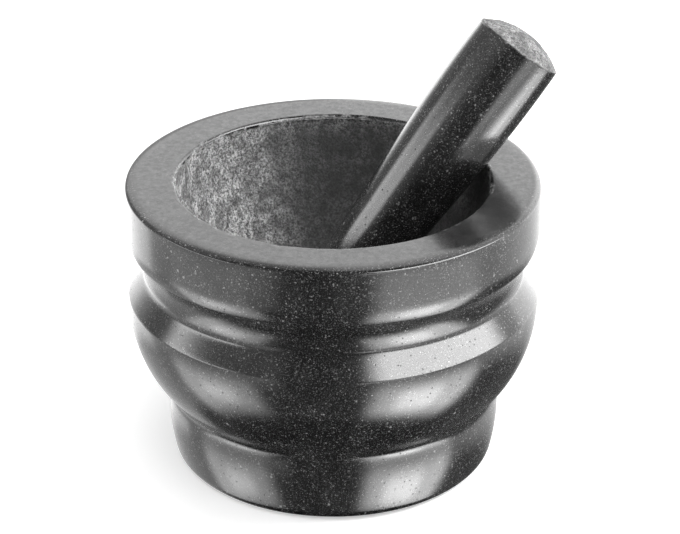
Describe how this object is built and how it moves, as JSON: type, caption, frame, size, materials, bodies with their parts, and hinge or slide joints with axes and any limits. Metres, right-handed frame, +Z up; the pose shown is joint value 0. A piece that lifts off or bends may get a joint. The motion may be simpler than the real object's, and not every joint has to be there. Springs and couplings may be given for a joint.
{
  "type": "mortar and pestle",
  "caption": "Heavy turned granite mortar with a deep rim band, a hollowed waist, a round belly and a plain foot, with a tapered granite pestle leaning in its bowl.",
  "frame": {"origin": "middle of the mortar's flat resting face", "axes": "+Z up along the mortar's own axis; -Y is the front; the pestle leans towards +X and a little towards +Y"},
  "size_m": [0.1868, 0.18, 0.1945],
  "materials": {
    "mortar_granite": "polished outside, satin rim, pecked bowl",
    "pestle_granite": "polished barrel, rough ends"
  },
  "bodies": {
    "mortar": {"mortar": "mortar_granite"},
    "pestle": {"pestle": "pestle_granite"}
  },
  "joints": [
    {"name": "pestle_lift", "type": "slide", "parent": "mortar", "child": "pestle", "axis": [0, 0, 1], "range_m": [0, 0.1]}
  ]
}
